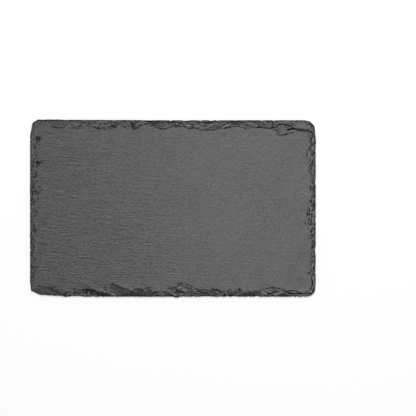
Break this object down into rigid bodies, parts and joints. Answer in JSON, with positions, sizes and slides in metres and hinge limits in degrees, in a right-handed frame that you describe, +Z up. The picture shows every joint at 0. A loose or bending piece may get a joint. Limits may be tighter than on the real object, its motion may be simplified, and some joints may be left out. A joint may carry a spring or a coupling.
{
  "type": "slate serving board",
  "caption": "Rectangular riven slate serving board with hand-dressed chipped edges, on stick-on rubber feet, for laying out food on a table.",
  "frame": {"origin": "on the table under the middle of the board, in the plane of the feet's lower faces", "axes": "+X along the long side, +Y towards the back long edge, +Z up out of the serving face"},
  "size_m": [0.265, 0.1644, 0.0082],
  "materials": {
    "slate": "matte",
    "foot_rubber": "matte",
    "glue": "satin"
  },
  "bodies": {
    "root": {"slate_slab": "slate", "rubber_foot_front_left": "foot_rubber", "rubber_foot_front_right": "foot_rubber", "rubber_foot_back_right": "foot_rubber", "rubber_foot_back_left": "foot_rubber", "glue_disc_front_left": "glue", "glue_disc_front_right": "glue", "glue_disc_back_right": "glue", "glue_disc_back_left": "glue"}
  },
  "joints": []
}
